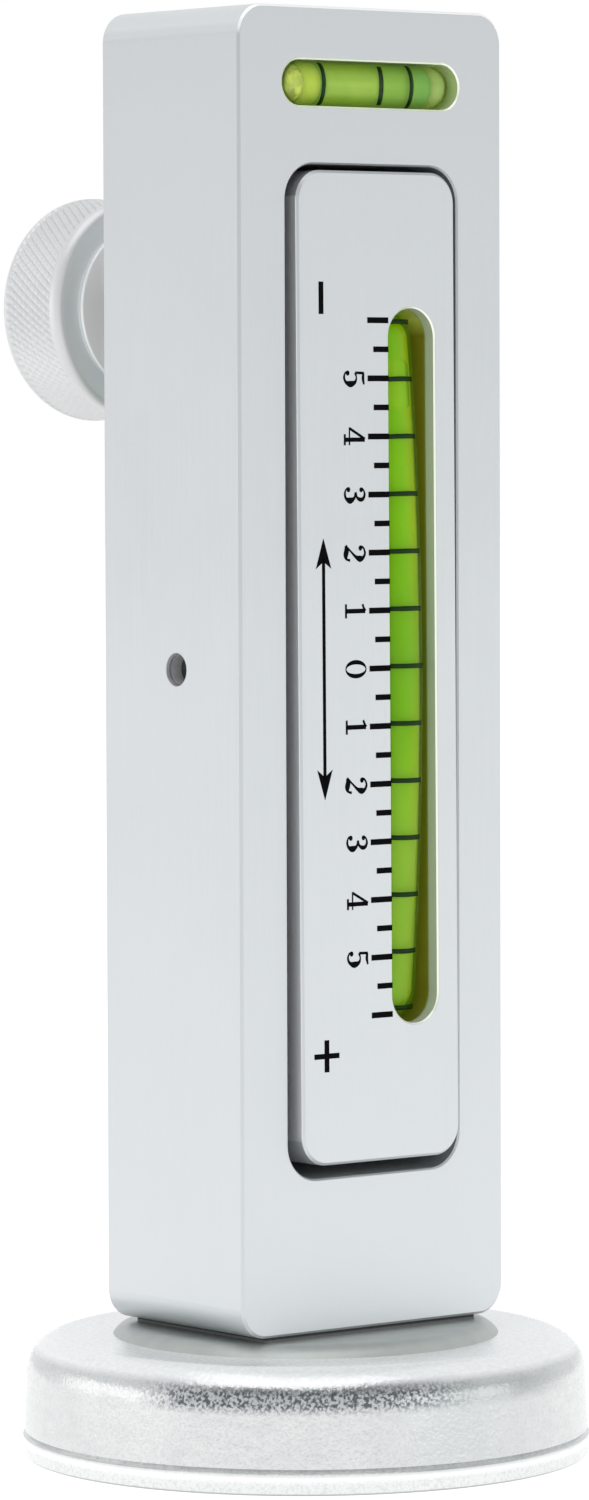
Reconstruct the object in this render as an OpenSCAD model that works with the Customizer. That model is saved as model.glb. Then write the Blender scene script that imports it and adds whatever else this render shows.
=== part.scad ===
// Camber caster gauge: an aluminium bar on a pot magnet, with a rocking block
// that carries two bent spirit vials and a knurled knob that tilts it.
// Millimetres. +Z up, front towards -Y. Origin: centre of the magnet's face.

/* [Body] */
// width of the bar, left to right
body_w = 38.1; // [36:0.1:44]
// depth of the bar, front to back
body_d = 24.8; // [24.4:0.1:25.4]
// height of the bar
body_h = 148; // [146:0.5:160]
// radius of the bar's four front corners
body_corner = 3.4; // [2:0.1:5]
// bevel on the bar's sharp edges
body_bevel = 0.3; // [0.2:0.05:0.5]
// bevel round the mouths of the pocket and the slots
mouth_bevel = 0.2; // [0.1:0.05:0.25]
// thickness of the wall behind the pocket
back_wall = 4.8; // [4.4:0.1:5.2]

/* [Pocket and rocker] */
// width of the pocket in the front
pocket_w = 24.8; // [24.6:0.1:26]
// height of the pocket
pocket_h = 113.2; // [113:0.1:114.6]
// height of the pocket's centre above the bar's bottom
pocket_rise = 73.9; // [73.7:0.1:74.2]
// radius of the pocket's corners
pocket_corner = 4; // [3:0.1:5]
// width of the rocking block
rocker_w = 22.9; // [22.5:0.1:23.1]
// height of the rocking block
rocker_h = 110.9; // [108:0.1:111]
// radius of the rocking block's corners
rocker_corner = 3.4; // [2.5:0.1:4.5]
// height of the pivot above the bar's bottom
pivot_rise = 74.3; // [74:0.1:74.6]
// how far the pivot lies in front of the bar's middle
pivot_forward = 0.85; // [0.7:0.05:1]
// pivot to the rocking block's front face
rocker_front = 12.65; // [12.4:0.05:12.9]
// pivot to the rocking block's back face
rocker_back = 6.25; // [6:0.05:6.4]
// lean of the rocking block as photographed, in degrees
rest_lean = 0.35; // [0:0.05:1]

/* [Back pad and window] */
// width of the pad that fills the back window
pad_w = 20.4; // [19:0.1:20.8]
// height of that pad
pad_h = 60; // [58:0.5:61]
// gap round the pad
pad_gap = 1.3; // [1.2:0.05:1.6]
// how far the pad lies below the bar's back face
pad_sunk = 0.6; // [0.5:0.05:1]

/* [Pivot pin] */
// diameter of the pivot pin
pin_d = 3.2; // [3:0.1:3.6]
// how far the pin's ends lie below the sides
pin_sunk = 2; // [1.4:0.1:2.4]
// flare of the pin hole's mouths
pin_flare = 0.3; // [0.2:0.05:0.4]

/* [Bent vials] */
// radius of the vials' bend
bend_r = 375; // [340:5:420]
// outer diameter of a bent vial
vial_d = 6.4; // [6.2:0.05:6.45]
// bore of a bent vial
vial_bore = 4.6; // [4.4:0.1:4.8]
// width of the slot that a bent vial lies in
slot_w = 6.6; // [6.55:0.05:6.8]
// length of the camber slot
camber_slot = 80.5; // [79:0.5:82]
// length of the caster slot
caster_slot = 54; // [50:0.5:55]
// distance of each slot from the middle, sideways
slot_side = 5; // [4.6:0.1:5.4]
// depth of the slots
slot_depth = 8.9; // [8.8:0.1:9.2]
// how far a vial's crest lies below the face
vial_sunk = 0.2; // [0.1:0.05:0.4]
// length of a bent vial's bubble
bubble_len = 8; // [6:0.5:9]
// how far each end plug reaches into its tube
plug_len = 1; // [0.8:0.1:1.4]

/* [Cross vial] */
// height of the cross vial above the bar's bottom
cross_rise = 139.5; // [139:0.1:141]
// length of the cross slot
cross_slot = 25.5; // [24:0.1:27]
// width of the cross slot
cross_w = 5.1; // [5:0.05:5.4]
// depth of the cross slot
cross_depth = 5.6; // [5.4:0.1:6]
// outer diameter of the cross vial
cross_d = 4.9; // [4.7:0.05:4.95]
// bore of the cross vial
cross_bore = 3.7; // [3.5:0.1:3.8]
// length of the cross vial's bubble
cross_bubble_len = 9.4; // [8:0.1:10]
// bubble's distance from the middle, as photographed
cross_bubble_x = -2.2; // [-3:0.1:3]

/* [Knob and screw] */
// height of the screw above the pivot
screw_lever = 40.8; // [40.4:0.1:41.2]
// diameter of the screw
screw_d = 6; // [5.6:0.1:6.4]
// diameter of the knob
knob_d = 26.1; // [24:0.1:28]
// length of the knob's grip
knob_len = 10.9; // [9:0.1:12]
// bevel of the knob's near rim
near_bevel = 1.1; // [0.8:0.05:1.4]
// bevel of the knob's far rim
knob_bevel = 0.7; // [0.5:0.05:1]
// depth of the recess in the knob that the friction spring ends in
spring_recess = 2.5; // [2:0.1:3]
// diameter of the boss on the knob's near face
boss_d = 19.8; // [16:0.1:21]
// how far that boss stands out
boss_len = 0.8; // [0.5:0.1:1.2]
// diameter of the shallow dish on its far face
dish_d = 18; // [14:0.1:20]
// depth of that dish
dish_depth = 0.6; // [0.4:0.05:1]
// bar's back face to the boss, with the block upright
knob_gap = 15.55; // [14:0.05:17]
// diameter of the thrust ball
ball_d = 4; // [3.6:0.1:4.2]
// diameter of the wear pad that the ball pushes
wear_d = 7; // [6:0.1:8]
// thickness of the wear pad
wear_t = 2; // [1.5:0.1:2.5]
// diameter of the threaded bush
bush_d = 9; // [8.6:0.1:9.4]
// diameter of the bush's flange
flange_d = 13; // [12:0.1:14]
// thickness of the flange
flange_t = 1.2; // [1:0.1:1.5]
// thickness of the thrust washer
washer_t = 0.8; // [0.6:0.1:1]

/* [Springs] */
// wire of the friction spring
friction_wire = 1; // [0.8:0.1:1.2]
// middle diameter of the friction spring
friction_d = 8.8; // [8.6:0.1:9.4]
// turns of the friction spring
friction_turns = 6; // [5:1:7]
// wire of the return spring
return_wire = 0.8; // [0.7:0.1:0.9]
// middle diameter of the return spring
return_d = 6; // [5.6:0.1:6.1]
// turns of the return spring
return_turns = 6; // [5:1:7]
// return spring's distance below the pivot
return_drop = 43; // [42:0.5:44]
// diameter of the return spring's two seats
seat_d = 7.6; // [7.4:0.1:8]
// depth of its seat in the back wall
wall_seat = 2.8; // [2.4:0.1:3]
// depth of its seat in the rocking block
block_seat = 6; // [5:0.1:6.5]

/* [Magnet base] */
// diameter of the cup at its lip
cup_d = 64.7; // [63:0.1:66]
// height of the cup
cup_h = 13.65; // [13.2:0.05:14.5]
// radius of the cup's shoulder
shoulder_r = 4.2; // [3.6:0.1:5]
// height of the lip
lip_h = 2.5; // [2:0.1:3]
// thickness of the cup's side
cup_wall = 3; // [2.6:0.1:3.4]
// thickness of the cup's top
cup_top = 3.65; // [3.4:0.05:4]
// diameter of the spacer disc
disc_d = 44; // [40:0.5:46]
// thickness of the spacer disc
disc_t = 1.35; // [1.2:0.05:1.6]
// width of the disc's round edge
disc_round = 2.6; // [2:0.1:3]
// thickness of the gasket
gasket_t = 0.55; // [0.4:0.05:0.8]
// how far the gasket stays inside the flat of the bar's bottom
gasket_inset = 0.4; // [0.2:0.1:0.8]
// diameter of the centre pole
pole_d = 20; // [19:0.5:22]
// thickness of the filler round the magnet
filler_t = 0.8; // [0.5:0.1:1]
// how far the magnet lies above the face
magnet_sunk = 0.4; // [0.3:0.1:0.6]
// diameter of the stud that holds the bar on the base
stud_d = 8; // [6:0.1:8.2]
// how far the stud reaches into the bar
stud_bite = 11.6; // [10:0.1:12.4]
// thickness of the pole's floor below the stud
pole_floor = 3; // [2.5:0.1:4]

/* [Clearances] */
// radial clearance of a shaft that turns
running = 0.04; // [0.02:0.01:0.08]
// radial clearance of a screw through a plain hole
loose = 0.3; // [0.2:0.05:0.4]
// gap between a bubble and what it passes
bubble_gap = 0.3; // [0.25:0.05:0.4]

/* [Hidden] */
$fn = 96;
eps = 0.01;
body_z = cup_h + disc_t + gasket_t;
front_y = -body_d / 2;
back_y = body_d / 2;
pivot_y = -pivot_forward;
pivot_z = body_z + pivot_rise;
floor_y = back_y - back_wall;
pad_back = back_y - pad_sunk - pivot_y;
screw_z = pivot_z + screw_lever;
cross_z = body_z + cross_rise;
vial_r = vial_d / 2;
bore_r = vial_bore / 2;
crest = rocker_front - vial_sunk - vial_r;
caster_crest = pad_back - vial_sunk - vial_r;
bubble_r = bore_r - 2 * bubble_gap;
cross_r = cross_d / 2;
cross_bore_r = cross_bore / 2;
cross_y = front_y + 0.25 + cross_r;
cross_bubble_r = cross_bore_r - 2 * bubble_gap;
cross_half = cross_slot / 2 - cross_r - 0.1;
ball_r = ball_d / 2;
ball_y = pivot_y + rocker_back + ball_r + eps;
screw_shift = screw_lever * tan(rest_lean) + (rocker_back + ball_r) * (1 / cos(rest_lean) - 1);
knob_y = back_y + knob_gap;
tip_y = ball_y - ball_r / 2;
washer_y = back_y + flange_t;
friction_y = washer_y + washer_t;
friction_len = knob_y + screw_shift + spring_recess - friction_y;
return_y = pivot_y + rocker_back - block_seat - return_drop * sin(rest_lean);
return_len = floor_y + wall_seat - return_y;
wall_r = cup_d / 2 - 0.2;
pole_r = pole_d / 2;
inner_r = cup_d / 2 - cup_wall;
inner_h = cup_h - cup_top;

// ---- shared shapes ----

// points of a rectangle with bevelled corners, a wide and b deep
function bevelled(a, b, c) = [
    [-a / 2 + c, -b / 2], [a / 2 - c, -b / 2], [a / 2, -b / 2 + c], [a / 2, b / 2 - c],
    [a / 2 - c, b / 2], [-a / 2 + c, b / 2], [-a / 2, b / 2 - c], [-a / 2, -b / 2 + c]];

// block with round corners in the front view and bevels front and back
module bar(w, d, h, r, c) {
    linear_extrude(h - 2 * r, center = true) polygon(bevelled(w, d, c));
    if (w > 2 * r + eps)
        rotate([0, 90, 0]) linear_extrude(w - 2 * r, center = true) polygon(bevelled(h, d, c));
    for (sx = w > 2 * r + eps ? [-1, 1] : [0], sz = [-1, 1])
        translate([sx * (w / 2 - r), 0, sz * (h / 2 - r)])
            rotate([90, 0, 0])
                rotate_extrude() polygon([[0, -d / 2], [r - c, -d / 2], [r, -d / 2 + c],
                    [r, d / 2 - c], [r - c, d / 2], [0, d / 2]]);
}

// plain pocket cutter with round corners, from y0 to y1
module slab(w, h, r, y0, y1) {
    translate([-w / 2 + r, y0, -h / 2]) cube([w - 2 * r, y1 - y0, h]);
    translate([-w / 2, y0, -h / 2 + r]) cube([w, y1 - y0, h - 2 * r]);
    for (sx = [-1, 1], sz = [-1, 1])
        translate([sx * (w / 2 - r), y1, sz * (h / 2 - r)])
            rotate([90, 0, 0]) cylinder(h = y1 - y0, r = r);
}

// cuts a bevel round the mouth of a pocket or slot in the face at y, on either side of it
module mouth(w, h, r, y, c = mouth_bevel) {
    translate([0, y, 0]) bar(w + 2 * c, 2 * c + 2 * eps, h + 2 * c, r + c, c);
}

// slot cutter with full round ends, upright, from y0 to y1
module slot(w, len, y0, y1) {
    translate([-w / 2, y0, -(len - w) / 2]) cube([w, y1 - y0, len - w]);
    for (s = [-1, 1])
        translate([0, y1, s * (len - w) / 2]) rotate([90, 0, 0]) cylinder(h = y1 - y0, d = w);
}

// rod along Y from y0 to y1
module rod(r, y0, y1) {
    translate([0, y1, 0]) rotate([90, 0, 0]) cylinder(h = y1 - y0, r = r);
}

// places its children on the leaning block, measured from the pivot
module leaning() {
    translate([0, pivot_y, pivot_z]) rotate([-rest_lean, 0, 0]) children();
}

// places its children on the screw, which follows the lean
module on_screw() {
    translate([0, screw_shift, screw_z]) children();
}

// bent rod of radius r, its crest at the origin, ahead of the bend line by off
module bent(half, r, off = 0) {
    translate([0, bend_r, 0]) rotate([90, 0, -90]) rotate([0, 0, -half])
        rotate_extrude(angle = 2 * half, $fn = 1800) translate([bend_r + off, 0]) circle(r, $fn = 64);
}

// moves its children along the bend, upwards by an angle
module along(a) {
    translate([0, bend_r, 0]) rotate([-a, 0, 0]) translate([0, -bend_r, 0]) children();
}

// half angle of a bent vial's tube in a slot of this length
function tube_half(len) = (len / 2 - vial_r - 0.15) / bend_r * 180 / PI;
// half angle of its liquid, between the plugs
function liquid_half(len) = tube_half(len) - plug_len / bend_r * 180 / PI;
// furthest angle that its bubble's middle reaches
function bubble_reach(len) = liquid_half(len) - (bubble_len / 2 + bubble_gap) / bend_r * 180 / PI;

module bent_tube(len) {
    difference() {
        bent(tube_half(len), vial_r);
        bent(tube_half(len) + 0.1, bore_r);
    }
}

module bent_bubble(len, grow) {
    half = (bubble_len / 2 - bubble_r) / bend_r * 180 / PI;
    along(bubble_reach(len)) {
        bent(half, bubble_r + grow, bubble_gap);
        for (a = [-half, half])
            along(a) translate([0, -bubble_gap, 0]) sphere(bubble_r + grow);
    }
}

module bent_liquid(len) {
    difference() {
        bent(liquid_half(len), bore_r);
        bent_bubble(len, 0.05);
    }
}

// domed plug for a tube's upper end
module plug(r, bore) {
    intersection() {
        sphere(r);
        translate([-r, -r, 0]) cube([2 * r, 2 * r, r]);
    }
    translate([0, 0, -plug_len]) cylinder(h = plug_len + eps, r = bore);
}

module bent_plugs(len) {
    along(tube_half(len)) plug(vial_r, bore_r);
    along(-tube_half(len)) rotate([180, 0, 0]) plug(vial_r, bore_r);
}

// setting bed behind a bent vial, down to the slot's floor
module bent_bed(len) {
    difference() {
        slot(slot_w, len, 0.8 * vial_r, slot_depth - vial_sunk - vial_r);
        bent(tube_half(len), vial_r);
        for (a = [-tube_half(len), tube_half(len)]) along(a) sphere(vial_r);
    }
}

// places a bent vial in the front slot or, turned round, in the back one
module at_camber() {
    leaning() translate([slot_side, -crest, 0]) children();
}
module at_caster() {
    leaning() rotate([0, 0, 180]) translate([slot_side, -caster_crest, 0]) children();
}

// coil along +Y, one tube of 6 sides and 8 rings a turn
function coil_point(i, n, turns, r, wire, len) = [
    r * cos(360 * turns * i / n), wire / 2 + (len - wire) * i / n, r * sin(360 * turns * i / n)];
function coil_gap(n, turns, r, wire, len) = min([for (i = [0:n], j = [i + 5:1:n])
    norm(coil_point(i, n, turns, r, wire, len) - coil_point(j, n, turns, r, wire, len))]) - wire;

module coil(mean_d, wire, len, turns) {
    rings = 8 * turns;
    r = mean_d / 2;
    points = [for (i = [0:rings], k = [0:5])
        let (a = 360 * turns * i / rings, q = r + wire / 2 * cos(60 * k))
        [q * cos(a), wire / 2 + (len - wire) * i / rings + wire / 2 * sin(60 * k), q * sin(a)]];
    sides = [for (i = [0:rings - 1], k = [0:5], t = [0, 1])
        let (a = 6 * i + k, b = 6 * i + (k + 1) % 6)
        t == 0 ? [a, b, a + 6] : [b, b + 6, a + 6]];
    ends = [for (k = [1:4], t = [0, 1])
        t == 0 ? [0, k + 1, k] : [6 * rings, 6 * rings + k, 6 * rings + k + 1]];
    polyhedron(points, concat(sides, ends), convexity = 12);
    echo(least_gap = coil_gap(rings, turns, r, wire, len));
}

// ---- body ----

// milled bar with its pocket, back window, cross slot and holes
module body_block() {
    color([0.80, 0.81, 0.82])
    difference() {
        translate([0, 0, body_z + body_h / 2]) bar(body_w, body_d, body_h, body_corner, body_bevel);
        translate([0, 0, body_z + pocket_rise]) {
            slab(pocket_w, pocket_h, pocket_corner, front_y - 1, floor_y);
            mouth(pocket_w, pocket_h, pocket_corner, front_y);
        }
        translate([0, 0, pivot_z]) {
            slab(pad_w + 2 * pad_gap, pad_h + 2 * pad_gap, pocket_corner, floor_y - 1, back_y + 1);
            mouth(pad_w + 2 * pad_gap, pad_h + 2 * pad_gap, pocket_corner, back_y);
        }
        translate([0, 0, cross_z]) rotate([0, 90, 0]) {
            slot(cross_w, cross_slot, front_y - 1, front_y + cross_depth);
            mouth(cross_w, cross_slot, cross_w / 2, front_y);
        }
        translate([-body_w, pivot_y, pivot_z]) rotate([0, 90, 0]) cylinder(h = 2 * body_w, d = pin_d);
        for (s = [-1, 1])
            translate([s * body_w / 2, pivot_y, pivot_z]) rotate([0, -s * 90, 0])
                cylinder(h = pin_flare, r1 = pin_d / 2 + pin_flare, r2 = pin_d / 2);
        translate([0, 0, screw_z]) rod(bush_d / 2, floor_y - 1, back_y + 1);
        translate([0, 0, pivot_z - return_drop]) rod(seat_d / 2, floor_y - 1, floor_y + wall_seat);
        translate([0, 0, body_z - 1]) cylinder(h = stud_bite + 1.4, d = stud_d);
    }
}

// cross pin that the rocking block turns on
module pivot_pin() {
    color([0.62, 0.63, 0.65])
    translate([-body_w / 2 + pin_sunk, pivot_y, pivot_z]) rotate([0, 90, 0])
        cylinder(h = body_w - 2 * pin_sunk, d = pin_d);
}

// ---- rocking block ----

// block that carries both bent vials, with a pad that fills the back window
module scale_block() {
    depth = rocker_front + rocker_back;
    color([0.84, 0.85, 0.86])
    leaning() difference() {
        union() {
            translate([0, (rocker_back - rocker_front) / 2, 0])
                bar(rocker_w, depth, rocker_h, rocker_corner, body_bevel);
            translate([0, pad_back - pad_back / 2, 0])
                bar(pad_w, pad_back, pad_h, pocket_corner - pad_gap, body_bevel);
        }
        translate([slot_side, 0, 0]) {
            slot(slot_w, camber_slot, -rocker_front - 1, slot_depth - rocker_front);
            mouth(slot_w, camber_slot, slot_w / 2, -rocker_front);
        }
        translate([-slot_side, 0, 0]) {
            slot(slot_w, caster_slot, pad_back - slot_depth, pad_back + 1);
            mouth(slot_w, caster_slot, slot_w / 2, pad_back);
        }
        translate([-rocker_w, 0, 0]) rotate([0, 90, 0]) cylinder(h = 2 * rocker_w, r = pin_d / 2 + running);
        translate([0, 0, screw_lever]) rod(wear_d / 2, rocker_back - wear_t, rocker_back + 1);
        translate([0, 0, -return_drop]) rod(seat_d / 2, rocker_back - block_seat, rocker_back + 1);
    }
}

// hard disc that the thrust ball pushes
module wear_pad() {
    color([0.55, 0.56, 0.58])
    leaning() translate([0, 0, screw_lever]) rod(wear_d / 2, rocker_back - wear_t, rocker_back);
}

module camber_vial() {
    color([0.85, 0.95, 0.80, 0.4]) at_camber() bent_tube(camber_slot);
}
module camber_liquid() {
    color([0.50, 0.75, 0.05, 0.8]) at_camber() bent_liquid(camber_slot);
}
module camber_bubble() {
    color([0.90, 1.00, 0.60, 0.6]) at_camber() bent_bubble(camber_slot, 0);
}
module camber_plugs() {
    color([0.60, 0.70, 0.20]) at_camber() bent_plugs(camber_slot);
}
module camber_bed() {
    color([0.80, 0.88, 0.62]) at_camber() bent_bed(camber_slot);
}
module caster_vial() {
    color([0.85, 0.95, 0.80, 0.4]) at_caster() bent_tube(caster_slot);
}
module caster_liquid() {
    color([0.50, 0.75, 0.05, 0.8]) at_caster() bent_liquid(caster_slot);
}
module caster_bubble() {
    color([0.90, 1.00, 0.60, 0.6]) at_caster() bent_bubble(caster_slot, 0);
}
module caster_plugs() {
    color([0.60, 0.70, 0.20]) at_caster() bent_plugs(caster_slot);
}
module caster_bed() {
    color([0.80, 0.88, 0.62]) at_caster() bent_bed(caster_slot);
}

// ---- cross vial ----

module at_cross() {
    translate([0, cross_y, cross_z]) rotate([0, 90, 0]) children();
}
module cross_bubble_shape(grow) {
    half = cross_bubble_len / 2 - cross_bubble_r;
    translate([-bubble_gap, 0, cross_bubble_x]) {
        translate([0, 0, -half]) cylinder(h = 2 * half, r = cross_bubble_r + grow);
        for (s = [-1, 1]) translate([0, 0, s * half]) sphere(cross_bubble_r + grow);
    }
}
module cross_vial() {
    color([0.85, 0.95, 0.80, 0.4])
    at_cross() difference() {
        cylinder(h = 2 * cross_half, r = cross_r, center = true);
        cylinder(h = 2 * cross_half + 1, r = cross_bore_r, center = true);
    }
}
module cross_liquid() {
    color([0.50, 0.72, 0.15, 0.8])
    at_cross() difference() {
        cylinder(h = 2 * (cross_half - plug_len), r = cross_bore_r, center = true);
        cross_bubble_shape(0.05);
    }
}
module cross_bubble() {
    color([0.75, 0.95, 0.40, 0.6]) at_cross() cross_bubble_shape(0);
}
module cross_plugs() {
    color([0.75, 0.85, 0.30])
    at_cross() {
        translate([0, 0, cross_half]) plug(cross_r, cross_bore_r);
        translate([0, 0, -cross_half]) rotate([180, 0, 0]) plug(cross_r, cross_bore_r);
    }
}
module cross_bed() {
    color([0.80, 0.88, 0.62])
    difference() {
        translate([0, 0, cross_z]) rotate([0, 90, 0])
            slot(cross_w, cross_slot, cross_y + 0.8, front_y + cross_depth);
        at_cross() cylinder(h = 2 * cross_half, r = cross_r, center = true);
        at_cross() for (s = [-1, 1]) translate([0, 0, s * cross_half]) sphere(cross_r);
    }
}

// ---- knob and screw ----

// turned knob with a raised boss round the spring's recess and a shallow dish outside
module knob() {
    near = boss_len;
    far = boss_len + knob_len;
    r = knob_d / 2;
    boss = boss_d / 2;
    recess = (friction_d + friction_wire) / 2 + loose;
    color([0.82, 0.83, 0.84])
    on_screw() translate([0, knob_y, 0]) rotate([-90, 0, 0])
        rotate_extrude() polygon([[screw_d / 2, spring_recess], [recess, spring_recess], [recess, 0],
            [boss - 0.3, 0], [boss, 0.3], [boss, near],
            [r - near_bevel, near], [r, near + near_bevel], [r, far - knob_bevel],
            [r - knob_bevel, far], [dish_d / 2, far], [dish_d / 2 - dish_depth, far - dish_depth],
            [screw_d / 2, far - dish_depth]]);
}

// adjusting screw, pressed in the knob, with a socket for the ball in its tip
module adjusting_screw() {
    len = knob_y + boss_len + knob_len - dish_depth - tip_y;
    r = screw_d / 2;
    color([0.60, 0.61, 0.63])
    on_screw() translate([0, tip_y, 0]) rotate([-90, 0, 0]) difference() {
        rotate_extrude() difference() {
            polygon([[0, 0], [r - 0.4, 0], [r, 0.4], [r, len - 0.3], [r - 0.3, len], [0, len]]);
            translate([0, ball_y - tip_y]) circle(ball_r + running);
        }
        translate([-screw_d, -0.5, len - 1]) cube([2 * screw_d, 1, 2]);
    }
}

// ball at the screw's tip that pushes the block
module thrust_ball() {
    color([0.70, 0.71, 0.73]) on_screw() translate([0, ball_y, 0]) sphere(ball_r);
}

// threaded bush pressed in the back wall
module screw_bush() {
    color([0.78, 0.65, 0.35])
    translate([0, 0, screw_z]) difference() {
        union() {
            rod(bush_d / 2, floor_y, back_y);
            rod(flange_d / 2, back_y, back_y + flange_t);
        }
        rod(screw_d / 2 + running, floor_y - 1, back_y + flange_t + 1);
    }
}

module thrust_washer() {
    color([0.66, 0.67, 0.69])
    translate([0, 0, screw_z]) difference() {
        rod(flange_d / 2 - 0.6, washer_y, friction_y);
        rod(screw_d / 2 + loose, washer_y - 1, friction_y + 1);
    }
}

// keeps the screw from turning by itself
module friction_spring() {
    color([0.66, 0.67, 0.69])
    translate([0, friction_y, screw_z]) coil(friction_d, friction_wire, friction_len, friction_turns);
}

// presses the block's lower end forward, so its upper end follows the ball
module return_spring() {
    color([0.66, 0.67, 0.69])
    translate([0, return_y, pivot_z - return_drop]) coil(return_d, return_wire, return_len, return_turns);
}

// ---- magnet base ----

// pressed steel cup, open below
module magnet_cup() {
    color([0.74, 0.75, 0.74])
    difference() {
        union() {
            rotate_extrude() polygon([[0, 0], [cup_d / 2 - 0.3, 0], [cup_d / 2, 0.3],
                [cup_d / 2, lip_h - 0.2], [cup_d / 2 - 0.3, lip_h], [wall_r - 0.25, lip_h + 0.1],
                [wall_r, lip_h + 0.4], [wall_r - 0.25, cup_h - shoulder_r], [0, cup_h - shoulder_r]]);
            translate([0, 0, cup_h - shoulder_r]) cylinder(h = shoulder_r, r = wall_r - 0.25 - shoulder_r);
            translate([0, 0, cup_h - shoulder_r]) rotate_extrude() difference() {
                translate([wall_r - 0.25 - shoulder_r, 0]) circle(shoulder_r);
                translate([-cup_d, -cup_d]) square([2 * cup_d, cup_d]);
                translate([-cup_d, 0]) square([cup_d + wall_r - 0.25 - shoulder_r, cup_d]);
            }
        }
        translate([0, 0, -1]) cylinder(h = inner_h + 1, r = inner_r);
        cylinder(h = cup_h + 1, r = stud_d / 2 + loose);
    }
}

// ferrite ring
module magnet_ring() {
    color([0.16, 0.16, 0.17])
    translate([0, 0, magnet_sunk]) difference() {
        cylinder(h = inner_h - magnet_sunk, r = inner_r - filler_t);
        translate([0, 0, -1]) cylinder(h = inner_h + 1, r = pole_r + filler_t);
    }
}

// setting ring outside the magnet and another round the pole
module filler_ring() {
    color([0.35, 0.36, 0.38])
    translate([0, 0, magnet_sunk]) {
        difference() {
            cylinder(h = inner_h - magnet_sunk, r = inner_r);
            translate([0, 0, -1]) cylinder(h = inner_h + 1, r = inner_r - filler_t);
        }
        difference() {
            cylinder(h = inner_h - magnet_sunk, r = pole_r + filler_t);
            translate([0, 0, -1]) cylinder(h = inner_h + 1, r = pole_r);
        }
    }
}

// steel pole with a blind hole for the stud; its lower face is in the magnet's face
module centre_pole() {
    color([0.62, 0.63, 0.64])
    difference() {
        cylinder(h = inner_h, r = pole_r);
        translate([0, 0, pole_floor]) cylinder(h = inner_h, d = stud_d);
    }
}

// smooth disc with a round upper edge
module spacer_disc() {
    arc_r = (disc_round * disc_round + disc_t * disc_t) / (2 * disc_t);
    color([0.66, 0.68, 0.68])
    translate([0, 0, cup_h]) difference() {
        union() {
            cylinder(h = disc_t, r = disc_d / 2 - disc_round);
            rotate_extrude() intersection() {
                translate([disc_d / 2 - disc_round, disc_t - arc_r]) circle(arc_r);
                translate([disc_d / 2 - disc_round, 0]) square([disc_d, disc_t]);
            }
        }
        translate([0, 0, -1]) cylinder(h = disc_t + 2, r = stud_d / 2 + loose);
    }
}

// flat gasket under the flat of the bar's bottom, drawn in a little
module gasket() {
    w = body_w - 2 * body_corner - 2 * gasket_inset;
    d = body_d - 2 * gasket_inset;
    color([0.08, 0.08, 0.08])
    translate([0, 0, cup_h + disc_t]) difference() {
        linear_extrude(gasket_t) polygon(bevelled(w, d, body_bevel));
        translate([0, 0, -1]) cylinder(h = gasket_t + 2, r = stud_d / 2 + loose);
    }
}

// stud from the pole up into the bar, bevelled at both ends
module base_stud() {
    top = body_z + stud_bite;
    r = stud_d / 2;
    color([0.58, 0.59, 0.61])
    rotate_extrude() polygon([[0, pole_floor], [r - 0.6, pole_floor], [r, pole_floor + 0.6],
        [r, top - 0.6], [r - 0.6, top], [0, top]]);
}

body_block();
pivot_pin();
scale_block();
wear_pad();
camber_vial();
camber_liquid();
camber_bubble();
camber_plugs();
camber_bed();
caster_vial();
caster_liquid();
caster_bubble();
caster_plugs();
caster_bed();
cross_vial();
cross_liquid();
cross_bubble();
cross_plugs();
cross_bed();
knob();
adjusting_screw();
thrust_ball();
screw_bush();
thrust_washer();
friction_spring();
return_spring();
magnet_cup();
magnet_ring();
filler_ring();
centre_pole();
spacer_disc();
gasket();
base_stud();
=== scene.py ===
"""Looks of the camber caster gauge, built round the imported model. Lengths are in millimetres,
and the points of each mesh are scaled to metres when its piece is made."""
from math import cos, pi, radians, sin, sqrt, tan

import bpy
from mathutils import Matrix, Vector


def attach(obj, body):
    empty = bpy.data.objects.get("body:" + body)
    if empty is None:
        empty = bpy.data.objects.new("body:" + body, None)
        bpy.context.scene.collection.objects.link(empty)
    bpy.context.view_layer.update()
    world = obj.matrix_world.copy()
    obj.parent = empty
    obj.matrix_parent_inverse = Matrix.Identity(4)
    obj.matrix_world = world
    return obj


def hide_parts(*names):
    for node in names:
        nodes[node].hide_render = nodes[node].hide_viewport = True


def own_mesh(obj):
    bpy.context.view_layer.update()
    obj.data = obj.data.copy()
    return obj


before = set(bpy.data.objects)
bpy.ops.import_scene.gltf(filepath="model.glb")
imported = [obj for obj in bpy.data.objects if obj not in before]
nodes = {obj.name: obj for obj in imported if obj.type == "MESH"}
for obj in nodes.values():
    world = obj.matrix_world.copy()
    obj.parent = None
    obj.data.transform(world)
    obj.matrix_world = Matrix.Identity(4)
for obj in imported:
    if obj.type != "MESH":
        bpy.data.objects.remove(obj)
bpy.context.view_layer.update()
MM = 0.001
X, Y, Z = 0, 1, 2

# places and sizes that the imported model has
BODY_Z = 15.55          # bottom of the bar
PIVOT = Vector((0, -0.85, 89.85))
LEAN = radians(0.35)
FACE = 12.65            # pivot to the rocking block's front face, and to its back pad
BEND = 375.0            # radius of the bent vials
CREST = 9.25            # pivot to a bent vial's centre line
SIDE = 5.0              # each bent vial's distance from the middle
CAMBER_SLOT = 80.5
CASTER_SLOT = 54.0
CROSS_Z = 155.05
CROSS = Vector((0, -9.7, CROSS_Z))          # middle of the cross vial
SCREW_Z = 130.65
SHIFT = 0.2493          # how far the lean moves the screw back
THREAD_PITCH = 0.75

# between two long lines of the print, and between two lines round the tube
CAMBER_STEP, CAMBER_LINE_STEP = 6.491, 6.41
CASTER_STEP = 4.3


# ---- camera ----

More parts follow.
